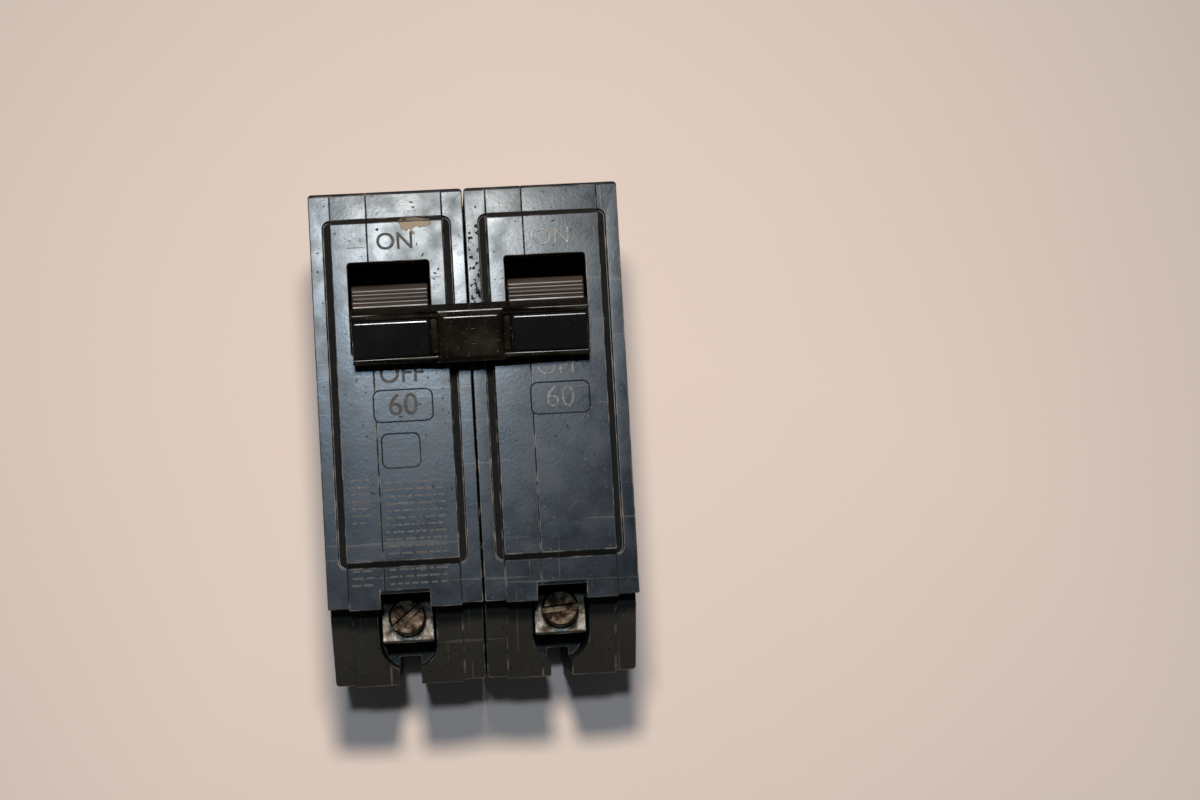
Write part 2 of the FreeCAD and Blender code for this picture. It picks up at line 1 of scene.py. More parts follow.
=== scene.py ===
import json
import random
import math
import bpy
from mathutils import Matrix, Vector

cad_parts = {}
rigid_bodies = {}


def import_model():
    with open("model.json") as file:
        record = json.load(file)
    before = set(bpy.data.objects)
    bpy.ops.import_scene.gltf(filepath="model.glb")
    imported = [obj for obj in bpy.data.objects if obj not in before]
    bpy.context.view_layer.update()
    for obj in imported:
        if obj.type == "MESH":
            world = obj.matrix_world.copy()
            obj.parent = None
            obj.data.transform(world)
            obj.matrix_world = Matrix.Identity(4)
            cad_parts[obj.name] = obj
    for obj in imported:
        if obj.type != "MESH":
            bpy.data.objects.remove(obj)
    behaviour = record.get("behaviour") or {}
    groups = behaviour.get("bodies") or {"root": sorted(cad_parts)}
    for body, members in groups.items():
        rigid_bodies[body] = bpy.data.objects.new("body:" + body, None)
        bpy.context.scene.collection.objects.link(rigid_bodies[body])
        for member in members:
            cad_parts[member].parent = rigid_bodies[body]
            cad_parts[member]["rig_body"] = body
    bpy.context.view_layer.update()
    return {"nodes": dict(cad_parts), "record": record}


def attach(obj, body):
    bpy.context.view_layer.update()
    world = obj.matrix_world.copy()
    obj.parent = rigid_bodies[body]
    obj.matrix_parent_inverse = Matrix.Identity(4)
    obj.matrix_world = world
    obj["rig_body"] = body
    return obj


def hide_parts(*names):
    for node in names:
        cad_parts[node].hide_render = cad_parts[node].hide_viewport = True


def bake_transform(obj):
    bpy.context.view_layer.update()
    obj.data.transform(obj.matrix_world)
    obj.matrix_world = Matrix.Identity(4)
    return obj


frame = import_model()
nodes = frame["nodes"]
slotOf = {part["node"]: part["material_slot"] for part in frame["record"]["subparts"]}
print("frame loaded,", len(nodes), "nodes")


# camera, floor and lights

view = {
    "lens": 75,
    "place": (-0.00696, -0.02245, 0.4673),
    "turn": (3.986, -3.65, -3.277),
    "floorColour": (0.80, 0.67, 0.585),
    # the far colour and the fade paint shade onto the floor, darker away from the breaker
    "floorPaintedShade": (0.55, 0.475, 0.42),
    "floorMottle": 0.975,
    "floorFade": {"middle": (0.035, -0.075, 0), "from": 0.09, "to": 0.25, "most": 0.75},
    "world": (0.62, 0.72, 0.86),
    "worldStrength": 0.055,
    "lamps": [
        # name, place, size, watts, colour
        ("keyLamp", (-0.005, 0.083, 0.40), 0.042, 1.27, (1.0, 0.90, 0.80)),
        ("highLamp", (-0.042, 0.187, 1.50), 0.06, 6.3, (0.66, 0.82, 1.0)),
    ],
}


def deselectAll():
    if bpy.context.object and bpy.context.object.mode != "OBJECT":
        bpy.ops.object.mode_set(mode="OBJECT")
    bpy.ops.object.select_all(action="DESELECT")


def onlySelect(piece):
    deselectAll()
    piece.select_set(True)
    bpy.context.view_layer.objects.active = piece


def makeCamera():
    deselectAll()
    turn = [math.radians(angle) for angle in view["turn"]]
    bpy.ops.object.camera_add(location=view["place"], rotation=turn)
    camera = bpy.context.object
    camera.data.lens = view["lens"]
    camera.data.clip_start = 0.01
    bpy.context.scene.camera = camera


def makeLamps():
    for name, place, size, watts, colour in view["lamps"]:
        deselectAll()
        bpy.ops.object.light_add(type="AREA", location=place)
        lamp = bpy.context.object
        lamp.name = name
        lamp.rotation_euler = Vector(place).to_track_quat("Z", "Y").to_euler()
        lamp.data.shape = "DISK"
        lamp.data.size = size
        lamp.data.energy = watts
        lamp.data.color = colour
    world = bpy.data.worlds.new("softRoom")
    world.use_nodes = True
    background = world.node_tree.nodes["Background"]
    background.inputs["Color"].default_value = (*view["world"], 1)
    background.inputs["Strength"].default_value = view["worldStrength"]
    bpy.context.scene.world = world


makeCamera()
makeLamps()
bpy.context.scene.view_settings.view_transform = "Standard"
print("camera and lamps placed")


# node helpers, patterns in object coordinates (metres)

def newFinish(name, rough=0.5, metal=0.0, specular=0.5):
    finish = bpy.data.materials.new(name)
    finish.use_nodes = True
    shader = finish.node_tree.nodes["Principled BSDF"]
    shader.inputs["Roughness"].default_value = rough
    shader.inputs["Metallic"].default_value = metal
    shader.inputs["Specular IOR Level"].default_value = specular
    return finish, finish.node_tree, shader


def objectCoords(tree, stretch=(1, 1, 1), turn=(0, 0, 0), shift=(0, 0, 0)):
    coords = tree.nodes.new("ShaderNodeTexCoord")
    mapping = tree.nodes.new("ShaderNodeMapping")
    mapping.inputs["Scale"].default_value = stretch
    mapping.inputs["Rotation"].default_value = [math.radians(angle) for angle in turn]
    mapping.inputs["Location"].default_value = shift
    tree.links.new(coords.outputs["Object"], mapping.inputs["Vector"])
    return mapping.outputs["Vector"]


def noiseMask(tree, scale, low, high, detail=4.0, **placing):
    noise = tree.nodes.new("ShaderNodeTexNoise")
    noise.inputs["Scale"].default_value = scale
    noise.inputs["Detail"].default_value = detail
    tree.links.new(objectCoords(tree, **placing), noise.inputs["Vector"])
    ramp = tree.nodes.new("ShaderNodeMapRange")
    ramp.inputs["From Min"].default_value = low
    ramp.inputs["From Max"].default_value = high
    tree.links.new(noise.outputs["Fac"], ramp.inputs["Value"])
    return ramp.outputs["Result"]


def combine(tree, operation, first, second):
    node = tree.nodes.new("ShaderNodeMath")
    node.operation = operation
    node.use_clamp = True
    for place, value in enumerate((first, second)):
        if isinstance(value, (int, float)):
            node.inputs[place].default_value = value
        else:
            tree.links.new(value, node.inputs[place])
    return node.outputs["Value"]


def blendColour(tree, mask, base, over):
    mix = tree.nodes.new("ShaderNodeMix")
    mix.data_type = "RGBA"
    tree.links.new(mask, mix.inputs[0])
    for place, value in ((6, base), (7, over)):
        if isinstance(value, tuple):
            mix.inputs[place].default_value = (*value, 1)
        else:
            tree.links.new(value, mix.inputs[place])
    return mix.outputs[2]


def spread(tree, mask, low, high):
    ramp = tree.nodes.new("ShaderNodeMapRange")
    ramp.inputs["To Min"].default_value = low
    ramp.inputs["To Max"].default_value = high
    tree.links.new(mask, ramp.inputs["Value"])
    return ramp.outputs["Result"]


def addBump(tree, shader, height, strength, depth):
    bump = tree.nodes.new("ShaderNodeBump")
    bump.inputs["Strength"].default_value = strength
    bump.inputs["Distance"].default_value = depth
    tree.links.new(height, bump.inputs["Height"])
    tree.links.new(bump.outputs["Normal"], shader.inputs["Normal"])


def blotch(tree, centre, radii, ragged, scale):
    # a spot with a torn outline: distance from its centre, upset by noise
    stretch = [1 / radius for radius in radii]
    shift = [-place / radius for place, radius in zip(centre, radii)]
    spot = tree.nodes.new("ShaderNodeVectorMath")
    spot.operation = "LENGTH"
    tree.links.new(objectCoords(tree, stretch=stretch, shift=shift), spot.inputs[0])
    upset = combine(tree, "MULTIPLY", noiseMask(tree, scale, 0.3, 0.7, 3), ragged)
    ramp = tree.nodes.new("ShaderNodeMapRange")
    ramp.inputs["From Min"].default_value = 1.0
    ramp.inputs["From Max"].default_value = 0.9
    adder = tree.nodes.new("ShaderNodeMath")
    tree.links.new(spot.outputs["Value"], adder.inputs[0])
    tree.links.new(upset, adder.inputs[1])
    tree.links.new(adder.outputs["Value"], ramp.inputs["Value"])
    return ramp.outputs["Result"]


def insideBox(tree, low, high, edge=0.0002):
    # one inside a box given by two corners, fading over the edge width
    split = tree.nodes.new("ShaderNodeSeparateXYZ")
    tree.links.new(objectCoords(tree), split.inputs["Vector"])
    mask = None
    for axis, (start, end) in enumerate(zip(low, high)):
        for side, sign in ((start, 1), (end, -1)):
            ramp = tree.nodes.new("ShaderNodeMapRange")
            ramp.inputs["From Min"].default_value = side - sign * edge
            ramp.inputs["From Max"].default_value = side + sign * edge
            tree.links.new(split.outputs[axis], ramp.inputs["Value"])
            value = ramp.outputs["Result"]
            mask = value if mask is None else combine(tree, "MULTIPLY", mask, value)
    return mask


# finishes

phenolic = {
    "dark": (0.010, 0.012, 0.0155),
    "cloud": (0.021, 0.024, 0.029),
    "dust": (0.22, 0.20, 0.17),
    # grime colour, which also paints shade into the case interior, grooves, pockets and pole gap
    "grimeAndShade": (0.0035, 0.0030, 0.0022),
    "olive": (0.030, 0.027, 0.019),
    "rough": (0.190, 0.235),
    "specular": 0.115,
    "specularTint": (0.84, 0.94, 1.0),
    "chip": ((-0.0083, 0.0354, 0.0608), (0.0046, 0.0034, 0.0030)),
    "chipColour": (0.27, 0.215, 0.15),
    "chipWithin": ((-0.02, 0.0318, 0.0590), (0, 0.0364, 0.0620)),
    # grooves, shaft (the case interior under the window), pockets and poleGap are boxes where
    # shade is painted darker; draftWalls and loadEnd take the olive tone
    "grooves": ((-0.03, -0.0225, 0.0568), (0.03, 0.0372, 0.05815)),
    "draftWalls": ((-0.0235, -0.0215, 0.0591), (0.0235, 0.0365, 0.0608)),
    "shaft": ((-0.0225, 0.0120, 0.0100), (0.0225, 0.0390, 0.0578)),
    "pockets": [((-0.0178, -0.0345, 0.0280), (-0.0078, -0.0238, 0.0498)),
                ((0.0078, -0.0345, 0.0280), (0.0178, -0.0238, 0.0498))],
    "poleGap": ((-0.0005, -0.05, -0.01), (0.0005, 0.05, 0.0600)),
    "loadEnd": ((-0.03, -0.0420, -0.01), (0.03, -0.0277, 0.0500)),
    "grimeStrip": ((0.0006, 0.0170, 0.0583), (0.0036, 0.0345, 0.0587)),
    "denseStrip": ((0.0022, 0.0170, 0.0583), (0.0038, 0.0300, 0.0587)),
}


def phenolicFinish():
    finish, tree, shader = newFinish("agedPhenolic", specular=phenolic["specular"])
    shader.inputs["Specular Tint"].default_value = (*phenolic["specularTint"], 1)
    cloud = noiseMask(tree, 95, 0.40, 0.66, 6)
    film = noiseMask(tree, 240, 0.45, 0.72, 8)
    dust = noiseMask(tree, 2300, 0.67, 0.74, 3)
    specks = noiseMask(tree, 1300, 0.665, 0.72, 5)
    scratches = noiseMask(tree, 40, 0.675, 0.70, 3, stretch=(1, 28, 1), turn=(0, 0, 33))
    crossed = noiseMask(tree, 34, 0.69, 0.71, 3, stretch=(26, 1, 1), turn=(0, 0, 18))
    scuffs = combine(tree, "ADD", scratches, crossed)
    sparse = combine(tree, "MULTIPLY", noiseMask(tree, 1150, 0.54, 0.58, 5),
                     insideBox(tree, *phenolic["grimeStrip"]))
    dense = combine(tree, "MULTIPLY", noiseMask(tree, 1000, 0.43, 0.49, 5),
                    insideBox(tree, *phenolic["denseStrip"], edge=0.0007))
    dirty = combine(tree, "MAXIMUM", sparse, dense)
    chip = combine(tree, "MULTIPLY", blotch(tree, *phenolic["chip"], 0.9, 420),
                   insideBox(tree, *phenolic["chipWithin"]))
    # painted shade: the case interior under the window, the groove floors and the wire pockets
    # are darkened
    paintedShade = combine(tree, "MAXIMUM", insideBox(tree, *phenolic["shaft"]),
                   insideBox(tree, *phenolic["grooves"], edge=0.0001))
    for pocket in phenolic["pockets"]:
        paintedShade = combine(tree, "MAXIMUM", paintedShade, insideBox(tree, *pocket, edge=0.0001))
    olive = combine(tree, "MAXIMUM", insideBox(tree, *phenolic["draftWalls"], edge=0.0001),
                    insideBox(tree, *phenolic["loadEnd"]))
    colour = blendColour(tree, cloud, phenolic["dark"], phenolic["cloud"])
    colour = blendColour(tree, combine(tree, "MULTIPLY", olive, 0.75), colour, phenolic["olive"])
    colour = blendColour(tree, combine(tree, "MULTIPLY", scuffs, 0.15), colour, phenolic["dust"])
    colour = blendColour(tree, combine(tree, "MULTIPLY", dust, 0.30), colour, phenolic["dust"])
    # real dark specks and the grime strip, then the painted shade
    for mask in (specks, dirty, combine(tree, "MULTIPLY", paintedShade, 0.93)):
        colour = blendColour(tree, mask, colour, phenolic["grimeAndShade"])
    colour = blendColour(tree, chip, colour, phenolic["chipColour"])
    tree.links.new(colour, shader.inputs["Base Color"])
    rough = spread(tree, cloud, *phenolic["rough"])
    for mask, extra in ((specks, 0.3), (dirty, 0.5), (paintedShade, 0.5), (chip, 0.4),
                        (olive, 0.22), (film, 0.10), (dust, 0.15)):
        rough = combine(tree, "ADD", rough, combine(tree, "MULTIPLY", mask, extra))
    tree.links.new(rough, shader.inputs["Roughness"])
    height = combine(tree, "ADD", noiseMask(tree, 1700, 0.2, 0.8, 6),
                     combine(tree, "MULTIPLY", scuffs, 0.5))
    addBump(tree, shader, height, 0.035, 0.00012)
    return finish


wornEdge = {"bare": (0.135, 0.125, 0.110), "kept": (0.020, 0.022, 0.025), "rough": 0.42}


def wornEdgeFinish():
    finish, tree, shader = newFinish("wornPhenolicEdge", rough=wornEdge["rough"], specular=0.4)
    worn = noiseMask(tree, 330, 0.50, 0.63, 7)
    tree.links.new(blendColour(tree, worn, wornEdge["kept"], wornEdge["bare"]),
                   shader.inputs["Base Color"])
    addBump(tree, shader, noiseMask(tree, 1400, 0.3, 0.7, 5), 0.25, 0.0001)
    return finish


handleLook = {
    "black": (0.0040, 0.0038, 0.0040),
    "drum": (0.040, 0.027, 0.018),
    "drumDark": (0.016, 0.011, 0.008),
    "pivot": (0.0213, 0.0515),
    "drumRadius": 0.0087,
    "drumFade": 0.00012,
}


def handleFinish():
    finish, tree, shader = newFinish("handlePlastic", specular=0.5)
    split = tree.nodes.new("ShaderNodeSeparateXYZ")
    shift = (0, -handleLook["pivot"][0], -handleLook["pivot"][1])
    tree.links.new(objectCoords(tree, shift=shift), split.inputs["Vector"])
    flat = tree.nodes.new("ShaderNodeCombineXYZ")
    tree.links.new(split.outputs["Y"], flat.inputs["Y"])
    tree.links.new(split.outputs["Z"], flat.inputs["Z"])
    reach = tree.nodes.new("ShaderNodeVectorMath")
    reach.operation = "LENGTH"
    tree.links.new(flat.outputs["Vector"], reach.inputs[0])
    onDrum = tree.nodes.new("ShaderNodeMapRange")
    onDrum.inputs["From Min"].default_value = handleLook["drumRadius"] + handleLook["drumFade"]
    onDrum.inputs["From Max"].default_value = handleLook["drumRadius"]
    tree.links.new(reach.outputs["Value"], onDrum.inputs["Value"])
    lines = noiseMask(tree, 60, 0.40, 0.60, 3, stretch=(0.6, 16, 16))
    brown = blendColour(tree, lines, handleLook["drumDark"], handleLook["drum"])
    colour = blendColour(tree, onDrum.outputs["Result"], handleLook["black"], brown)
    dust = combine(tree, "MULTIPLY", noiseMask(tree, 2600, 0.68, 0.76, 3), 0.10)
    colour = blendColour(tree, dust, colour, phenolic["dust"])
    tree.links.new(colour, shader.inputs["Base Color"])
    rough = combine(tree, "ADD", spread(tree, onDrum.outputs["Result"], 0.16, 0.36),
                    combine(tree, "MULTIPLY", noiseMask(tree, 180, 0.35, 0.7, 6), 0.12))
    tree.links.new(rough, shader.inputs["Roughness"])
    addBump(tree, shader, noiseMask(tree, 1500, 0.2, 0.8, 5), 0.05, 0.0001)
    return finish


def moulded(name, dark, light, rough, fleck, specular=0.4, scale=260, gapShaded=False):
    # dyed plastic: slow shade change, dust flecks and a fine skin
    finish, tree, shader = newFinish(name, specular=specular)
    cloud = noiseMask(tree, scale, 0.38, 0.66, 6)
    dust = combine(tree, "MULTIPLY", noiseMask(tree, 2400, 0.66, 0.75, 3), fleck)
    colour = blendColour(tree, cloud, dark, light)
    colour = blendColour(tree, dust, colour, (0.24, 0.21, 0.17))
    # painted shade in the gap between the poles
    if gapShaded:
        colour = blendColour(tree, insideBox(tree, *phenolic["poleGap"]), colour,
                             phenolic["grimeAndShade"])
    tree.links.new(colour, shader.inputs["Base Color"])
    tree.links.new(spread(tree, cloud, *rough), shader.inputs["Roughness"])
    addBump(tree, shader, noiseMask(tree, 1600, 0.2, 0.8, 6), 0.12, 0.0001)
    return finish


# painted shadow: the north half of the wire clamps and screws, under the case edge, is darkened
clampShadowBox = ((-0.03, -0.0296, 0.0300), (0.03, -0.0200, 0.0600))


def metal(name, bright, dull, rough, stretch=(1, 1, 1), scale=420, pits=0.25, clampShadowed=False):
    # brushed or rolled metal: dull patches, brushing along one axis, painted shade inside the
    # case by the window and in the pole gap
    finish, tree, shader = newFinish(name, metal=1.0)
    patches = noiseMask(tree, scale, 0.42, 0.64, 7)
    brushing = noiseMask(tree, 900, 0.35, 0.65, 3, stretch=stretch)
    colour = blendColour(tree, patches, bright, dull)
    colour = blendColour(tree, combine(tree, "MULTIPLY", brushing, 0.3), colour, dull)
    # painted shade: metal inside the case under the window and in the gap between the poles is
    # darkened
    paintedShade = combine(tree, "MULTIPLY", insideBox(tree, *phenolic["shaft"], edge=0.001), 0.96)
    paintedShade = combine(tree, "MAXIMUM", paintedShade, insideBox(tree, *phenolic["poleGap"], edge=0.0001))
    # painted shadow cast by the case edge over the clamp
    if clampShadowed:
        clampShadowMask = combine(tree, "MULTIPLY", insideBox(tree, *clampShadowBox, edge=0.0012), 0.82)
        paintedShade = combine(tree, "MAXIMUM", paintedShade, clampShadowMask)
    colour = blendColour(tree, paintedShade, colour, phenolic["grimeAndShade"])
    tree.links.new(colour, shader.inputs["Base Color"])
    mixed = combine(tree, "ADD", spread(tree, patches, *rough),
                    combine(tree, "MULTIPLY", brushing, 0.08))
    tree.links.new(mixed, shader.inputs["Roughness"])
    addBump(tree, shader, brushing, pits, 0.00008)
    return finish


def braidFinish():
    finish, tree, shader = newFinish("copperBraid", rough=0.38, metal=1.0)
    weave = []
    for angle in (38, -38):
        wave = tree.nodes.new("ShaderNodeTexWave")
        wave.inputs["Scale"].default_value = 900
        wave.inputs["Distortion"].default_value = 0.6
        tree.links.new(objectCoords(tree, turn=(angle, 0, angle)), wave.inputs["Vector"])
        weave.append(wave.outputs["Fac"])
    strands = combine(tree, "MULTIPLY", *weave)
    tree.links.new(blendColour(tree, strands, (0.16, 0.062, 0.030), (0.78, 0.42, 0.27)),
                   shader.inputs["Base Color"])
    addBump(tree, shader, strands, 0.7, 0.0002)
    return finish


def floorFinish():
    # painted light falloff: paler round the breaker, painted shade further off
    finish, tree, shader = newFinish("paleTable", rough=0.75, specular=0.2)
    base = view["floorColour"]
    shade = tuple(value * view["floorMottle"] for value in base)
    cloud = noiseMask(tree, 9, 0.3, 0.7, 5)
    colour = blendColour(tree, cloud, shade, base)
    away = tree.nodes.new("ShaderNodeVectorMath")
    away.operation = "LENGTH"
    fade = view["floorFade"]
    shift = [-place for place in fade["middle"]]
    tree.links.new(objectCoords(tree, shift=shift), away.inputs[0])
    fading = tree.nodes.new("ShaderNodeMapRange")
    fading.inputs["From Min"].default_value = fade["from"]
    fading.inputs["From Max"].default_value = fade["to"]
    fading.inputs["To Max"].default_value = fade["most"]
    tree.links.new(away.outputs["Value"], fading.inputs["Value"])
    # painted shade further from the breaker
    colour = blendColour(tree, fading.outputs["Result"], colour, view["floorPaintedShade"])
    tree.links.new(colour, shader.inputs["Base Color"])
    addBump(tree, shader, noiseMask(tree, 700, 0.3, 0.7, 4), 0.04, 0.0002)
    return finish


finishes = {
    "case_phenolic": phenolicFinish(),
    "handle_plastic": handleFinish(),
    "tie_plastic": moulded("tiePlastic", (0.0040, 0.0030, 0.0014), (0.0105, 0.0080, 0.0036),
                           (0.24, 0.40), 0.4, 0.35),
    "trip_bar_plastic": moulded("tripBarPlastic", (0.10, 0.030, 0.016), (0.17, 0.055, 0.028),
                                (0.40, 0.55), 0.2, gapShaded=True),
    "fibre_board": moulded("fibreBoard", (0.34, 0.20, 0.10), (0.50, 0.33, 0.18),
                           (0.65, 0.85), 0.3, 0.25, 800),
    "rivet_metal": metal("rivetSteel", (0.42, 0.40, 0.36), (0.16, 0.14, 0.11), (0.34, 0.55)),
    "pin_steel": metal("pinSteel", (0.58, 0.57, 0.55), (0.38, 0.37, 0.35), (0.18, 0.30),
                       stretch=(0.2, 6, 6)),
    "copper": metal("rolledCopper", (0.80, 0.43, 0.28), (0.36, 0.16, 0.09), (0.24, 0.42),
                    stretch=(6, 1, 0.3)),
    "copper_braid": braidFinish(),
    "contact_silver": metal("contactSilver", (0.86, 0.85, 0.80), (0.30, 0.28, 0.25),
                            (0.25, 0.48), scale=900, pits=0.5),
    "spring_steel": metal("springSteel", (0.52, 0.52, 0.53), (0.28, 0.27, 0.27), (0.22, 0.35)),
    "plated_steel": metal("platedSteel", (0.62, 0.60, 0.52), (0.40, 0.37, 0.29), (0.26, 0.42)),
    "bimetal_strip": metal("bimetalStrip", (0.60, 0.55, 0.46), (0.42, 0.33, 0.24),
                           (0.28, 0.40), stretch=(8, 8, 0.3)),
    "cage_metal": metal("cageMetal", (0.24, 0.22, 0.185), (0.060, 0.046, 0.033), (0.40, 0.60),
                        stretch=(5, 1, 1), pits=0.4, clampShadowed=True),
    "screw_metal": metal("screwMetal", (0.085, 0.062, 0.044), (0.022, 0.014, 0.009),
                         (0.38, 0.62), scale=700, pits=0.5, clampShadowed=True),
}
edgeFinish = wornEdgeFinish()
missing = sorted(set(slotOf.values()) - set(finishes))
print("finishes made,", len(finishes), "slots, missing:", missing)


# floor

floorSize = 6.0
deselectAll()
bpy.ops.mesh.primitive_plane_add(size=floorSize, location=(0, 0, 0))
bpy.ops.object.mode_set(mode="EDIT")
bpy.ops.mesh.subdivide(number_cuts=3)
bpy.ops.object.mode_set(mode="OBJECT")
floor = bpy.context.object
floor.name = "tableTop"
floor.data.materials.append(floorFinish())
print("floor laid")


# every CAD node takes its slot's finish

for nodeName, node in nodes.items():
    node.data.materials.clear()
    node.data.materials.append(finishes[slotOf[nodeName]])
print("finishes on the frame")


# refined copies: merged mesh, rounded edges, worn arrises

refined = {
    # node: rounding in metres, whether its edges take the worn finish
    "case_cover_left": (0.00016, True),
    "case_base_left": (0.00016, True),
    "case_cover_right": (0.00016, True),
    "case_base_right": (0.00016, True),
    "handle_left": (0.00030, False),
    "handle_right": (0.00030, False),
    "handle_tie": (0.00022, False),
    "wire_cage_left": (0.00018, False),
    "wire_cage_right": (0.00018, False),
    "lug_screw_left": (0.00012, False),
    "lug_screw_right": (0.00012, False),
    "case_rivets": (0.00015, False),
    "line_strap_left": (0.00012, False),
    "line_strap_right": (0.00012, False),
    "stab_jaw_left": (0.00010, False),
    "stab_jaw_right": (0.00010, False),
}
cleaning = {"mergeWithin": 0.000001, "flatWithin": 0.5, "edgeAngle": 38, "smoothAngle": 32}


def refine(nodeName, rounding, worn):
    source = nodes[nodeName]
    piece = bpy.data.objects.new(nodeName + "_finished", source.data.copy())
    bpy.context.scene.collection.objects.link(piece)
    onlySelect(piece)
    bpy.ops.object.mode_set(mode="EDIT")
    bpy.ops.mesh.select_all(action="SELECT")
    bpy.ops.mesh.remove_doubles(threshold=cleaning["mergeWithin"])
    bpy.ops.mesh.dissolve_limited(angle_limit=math.radians(cleaning["flatWithin"]))
    bpy.ops.object.mode_set(mode="OBJECT")
    piece.data.materials.clear()
    piece.data.materials.append(finishes[slotOf[nodeName]])
    bevel = piece.modifiers.new("rounding", "BEVEL")
    bevel.width = rounding
    bevel.segments = 2
    bevel.limit_method = "ANGLE"
    bevel.angle_limit = math.radians(cleaning["edgeAngle"])
    bevel.use_clamp_overlap = False
    bevel.harden_normals = False
    if worn:
        piece.data.materials.append(edgeFinish)
        bevel.material = 1
    bpy.ops.object.modifier_apply(modifier="rounding")
    bpy.ops.object.shade_smooth_by_angle(angle=math.radians(cleaning["smoothAngle"]))
    weighting = piece.modifiers.new("flatFaces", "WEIGHTED_NORMAL")
    weighting.weight = 100
    weighting.keep_sharp = True
    bpy.ops.object.modifier_apply(modifier="flatFaces")
    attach(piece, source["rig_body"])
    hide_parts(nodeName)
    return piece


for nodeName, choices in refined.items():
    finished = refine(nodeName, *choices)
    print("refined", nodeName, len(finished.data.polygons))


# toggle springs: merged, smooth-shaded copies with their placing baked in, left unattached to any
# body; the CAD nodes are hidden

springSet = {"coilRadius": 0.0018, "smoothAngle": 50}


def stretchySpring(side):
    nodeName = "toggle_spring_" + side
    source = nodes[nodeName]
    spring = bpy.data.objects.new(nodeName + "_finished", source.data.copy())
    bpy.context.scene.collection.objects.link(spring)
    onlySelect(spring)
    bpy.ops.object.mode_set(mode="EDIT")
    bpy.ops.mesh.select_all(action="SELECT")
    bpy.ops.mesh.remove_doubles(threshold=cleaning["mergeWithin"])
    bpy.ops.object.mode_set(mode="OBJECT")
    bpy.ops.object.shade_smooth_by_angle(angle=math.radians(springSet["smoothAngle"]))
    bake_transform(spring)
    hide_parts(nodeName)


for side in ("left", "right"):
    stretchySpring(side)
print("toggle springs made")


# markings on the face, raised a hair above it

marking = {
    "faceTop": 0.0610,
    "shoulderTop": 0.0589,
    "raised": 0.00006,
    "words": [
        # name, word, middle, size
        ("wordOnLeft", "ON", (-0.0115, 0.0320), 0.0039),
        ("wordOffLeft", "OFF", (-0.0115, 0.0103), 0.0042),
        ("wordOnRight", "ON", (0.0141, 0.0316), 0.0039),
        ("wordOffRight", "OFF", (0.0141, 0.0103), 0.0042),
        ("ratingLeft", "60", (-0.0115, 0.0052), 0.0050),
        ("ratingRight", "60", (0.0141, 0.0052), 0.0050),
    ],
    "pads": [
        # name, middle, half size
        ("ratingPadLeft", (-0.0115, 0.0052), (0.0049, 0.0027)),
        ("ratingPadRight", (0.0141, 0.0052), (0.0049, 0.0027)),
        ("blankPadLeft", (-0.0122, -0.0021), (0.0032, 0.0029)),
    ],
    "lineBlocks": [
        # west, east, north, south, which surface they lie on
        (-0.0207, -0.0176, -0.0066, -0.0146, "faceTop"),
        (-0.0154, -0.0054, -0.0072, -0.0190, "faceTop"),
        (-0.0214, -0.0176, -0.0213, -0.0244, "shoulderTop"),
        (-0.0152, -0.0048, -0.0213, -0.0240, "shoulderTop"),
    ],
    "linePitch": 0.00115,
    "lineHeight": 0.00034,
    "dashRaised": 0.00002,
    "dashCorner": 0.00012,
    "dashSpan": (0.0005, 0.0019),
    "dashSpace": (0.0002, 0.0005),
    "dashSeed": 7,
    "raggedStart": 0.0004,
    "raggedEnd": 0.0006,
    # west end, row and length of each single seam
    "seams": [(-0.0178, 0.0313, 0.0030), (-0.0052, 0.0259, 0.0020), (0.0208, 0.0177, 0.0026)],
    "seamHalfWidth": 0.00007,
    "seamCorner": 0.00005,
    "padRaised": 0.00008,
    "padCorner": 0.0012,
    "padRim": 0.00024,
    "padSunk": 0.00006,
    "plateBed": 0.00002,
    "wordLift": 0.00001,
    "wordBevel": 0.00003,
}


def settle(piece, finish, body):
    onlySelect(piece)
    bpy.ops.object.transform_apply(location=True, rotation=True, scale=True)
    piece.data.materials.clear()
    piece.data.materials.append(finish)
    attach(piece, body)


def roundedPlate(name, middle, half, top, raised, corner):
    # a cube squashed to a plate, bedded a little into the surface, with its upright edges rounded
    bed = marking["plateBed"]
    deselectAll()
    bpy.ops.mesh.primitive_cube_add(size=2, location=(*middle, top + raised / 2 - bed))
    plate = bpy.context.object
    plate.name = name
    plate.scale = (*half, raised / 2 + bed)
    bpy.ops.object.transform_apply(location=False, rotation=False, scale=True)
    bpy.ops.object.mode_set(mode="EDIT")
    bpy.ops.mesh.select_mode(type="EDGE")
    bpy.ops.mesh.select_all(action="DESELECT")
    bpy.ops.object.mode_set(mode="OBJECT")
    points = plate.data.vertices
    for edge in plate.data.edges:
        low, high = (points[index].co for index in edge.vertices)
        edge.select = abs(low.z - high.z) > raised / 2
    bpy.ops.object.mode_set(mode="EDIT")
    bpy.ops.mesh.bevel(offset=corner, segments=6, affect="EDGES")
    bpy.ops.object.mode_set(mode="OBJECT")
    return plate


def makeWord(name, word, middle, size, finish):
    deselectAll()
    bpy.ops.object.text_add(location=(*middle, marking["faceTop"] + marking["wordLift"]))
    lettering = bpy.context.object
    lettering.name = name
    lettering.data.body = word
    lettering.data.size = size
    lettering.data.align_x = "CENTER"
    lettering.data.align_y = "CENTER"
    lettering.data.extrude = marking["raised"]
    lettering.data.bevel_depth = marking["wordBevel"]
    bpy.ops.object.convert(target="MESH")
    settle(lettering, finish, "case")


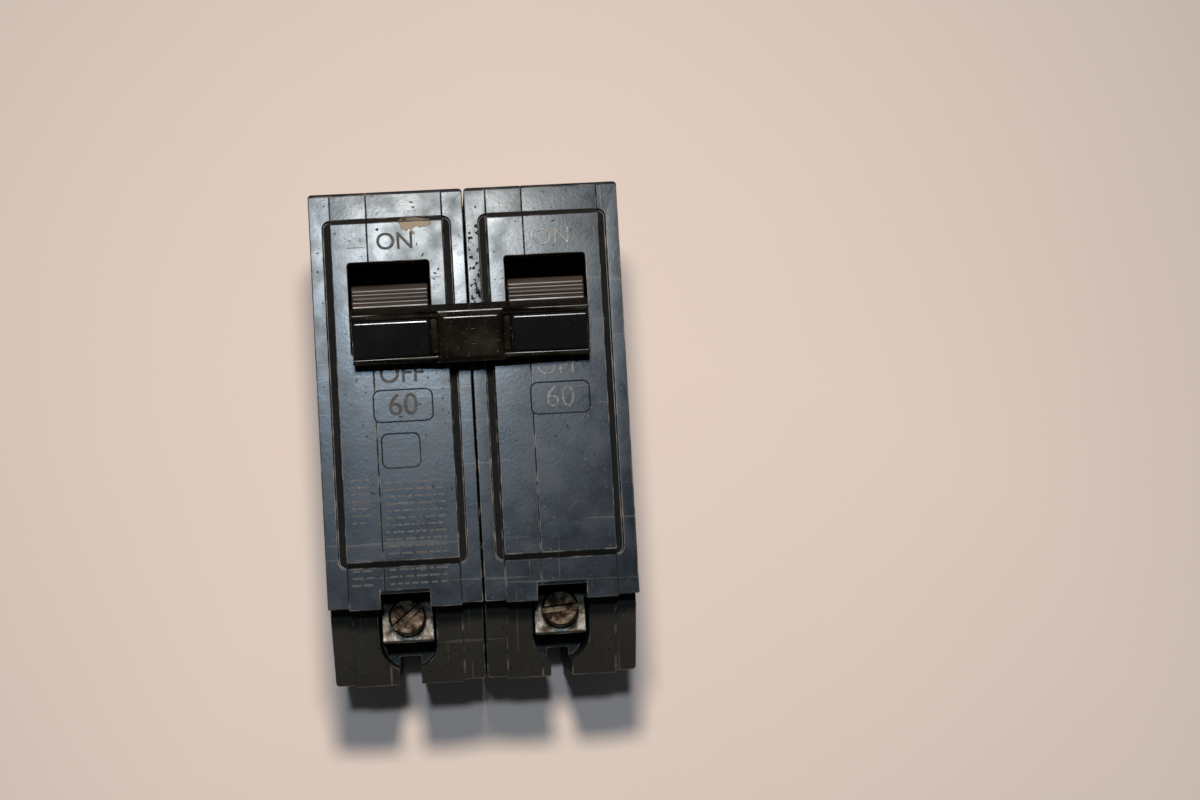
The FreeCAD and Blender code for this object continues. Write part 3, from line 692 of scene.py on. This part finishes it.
def makePads(finish):
    for name, middle, half in marking["pads"]:
        pad = roundedPlate(name, middle, half, marking["faceTop"], marking["padRaised"],
                           marking["padCorner"])
        onlySelect(pad)
        bpy.ops.object.mode_set(mode="EDIT")
        bpy.ops.mesh.select_mode(type="FACE")
        bpy.ops.mesh.select_all(action="DESELECT")
        bpy.ops.object.mode_set(mode="OBJECT")
        for face in pad.data.polygons:
            face.select = face.normal.z > 0.9
        bpy.ops.object.mode_set(mode="EDIT")
        bpy.ops.mesh.inset(thickness=marking["padRim"])
        bpy.ops.transform.translate(value=(0, 0, -marking["padSunk"]))
        bpy.ops.object.mode_set(mode="OBJECT")
        settle(pad, finish, "case")


def makeLineBlocks(finish):
    # short plain dashes in rows, with no letters in them
    chance = random.Random(marking["dashSeed"])
    dashes = []
    for west, east, north, south, surface in marking["lineBlocks"]:
        row = north
        while row > south:
            start = west + chance.uniform(0, marking["raggedStart"])
            while start < east - marking["raggedEnd"]:
                span = min(chance.uniform(*marking["dashSpan"]), east - start)
                dashes.append(roundedPlate("dash", (start + span / 2, row),
                                           (span / 2, marking["lineHeight"] / 2),
                                           marking[surface], marking["dashRaised"],
                                           marking["dashCorner"]))
                start += span + chance.uniform(*marking["dashSpace"])
            row -= marking["linePitch"]
    for west, row, span in marking["seams"]:
        dashes.append(roundedPlate("dash", (west, row), (span / 2, marking["seamHalfWidth"]),
                                   marking["faceTop"], marking["dashRaised"],
                                   marking["seamCorner"]))
    deselectAll()
    for dash in dashes:
        dash.select_set(True)
    bpy.context.view_layer.objects.active = dashes[0]
    bpy.ops.object.join()
    joined = bpy.context.object
    joined.name = "faceDashes"
    settle(joined, finish, "case")


tieMark = {"middle": (0.0004, 0.0152, 0.0683), "radius": 0.00128, "thick": 0.00007, "tilt": 20}


def makeTieMark(finish):
    # the round witness mark on top of the tie block
    deselectAll()
    bpy.ops.mesh.primitive_torus_add(
        location=tieMark["middle"], rotation=(math.radians(tieMark["tilt"]), 0, 0),
        major_radius=tieMark["radius"], minor_radius=tieMark["thick"],
        major_segments=40, minor_segments=8)
    ring = bpy.context.object
    ring.name = "tieWitnessMark"
    bpy.ops.object.shade_smooth()
    settle(ring, finish, "handle")


tieShoulder = {
    "reach": 0.0152,
    "acrossMiddle": 0.00586,
    "half": (0.00058, 0.0030, 0.0009),
    "rounding": 0.0002,
    "tilt": 20,
}


def makeTieShoulder(name, side, finish):
    # the low web between the tie block and a handle, over the peg
    tilt = math.radians(tieShoulder["tilt"])
    pivotY, pivotZ = handleLook["pivot"]
    reach = tieShoulder["reach"]
    deselectAll()
    bpy.ops.mesh.primitive_cube_add(size=2)
    web = bpy.context.object
    web.name = name
    web.scale = tieShoulder["half"]
    bpy.ops.object.transform_apply(location=False, rotation=False, scale=True)
    bpy.ops.object.mode_set(mode="EDIT")
    bpy.ops.mesh.select_mode(type="EDGE")
    bpy.ops.mesh.select_all(action="SELECT")
    bpy.ops.mesh.bevel(offset=tieShoulder["rounding"], segments=3, affect="EDGES")
    bpy.ops.object.mode_set(mode="OBJECT")
    bpy.ops.object.shade_smooth_by_angle(angle=math.radians(cleaning["smoothAngle"]))
    web.rotation_euler = (tilt, 0, 0)
    web.location = (side * tieShoulder["acrossMiddle"], pivotY - reach * math.sin(tilt),
                    pivotZ + reach * math.cos(tilt))
    settle(web, finish, "handle")


inkFinish = moulded("letterInk", (0.012, 0.011, 0.009), (0.040, 0.036, 0.030),
                    (0.50, 0.70), 0.3, 0.3, 900)
faintFinish = moulded("faintInk", (0.016, 0.015, 0.013), (0.026, 0.023, 0.018),
                      (0.25, 0.33), 0.2, 0.17, 700)
dashFinish = moulded("faintDashes", (0.014, 0.014, 0.015), (0.042, 0.040, 0.036),
                     (0.34, 0.50), 0.3, 0.2, 420)
for name, word, middle, size in marking["words"]:
    makeWord(name, word, middle, size, inkFinish if middle[0] < 0 else faintFinish)
makePads(finishes["case_phenolic"])
makeLineBlocks(dashFinish)
makeTieMark(finishes["tie_plastic"])
makeTieShoulder("tieShoulderLeft", -1, finishes["tie_plastic"])
makeTieShoulder("tieShoulderRight", 1, finishes["tie_plastic"])
print("markings made")
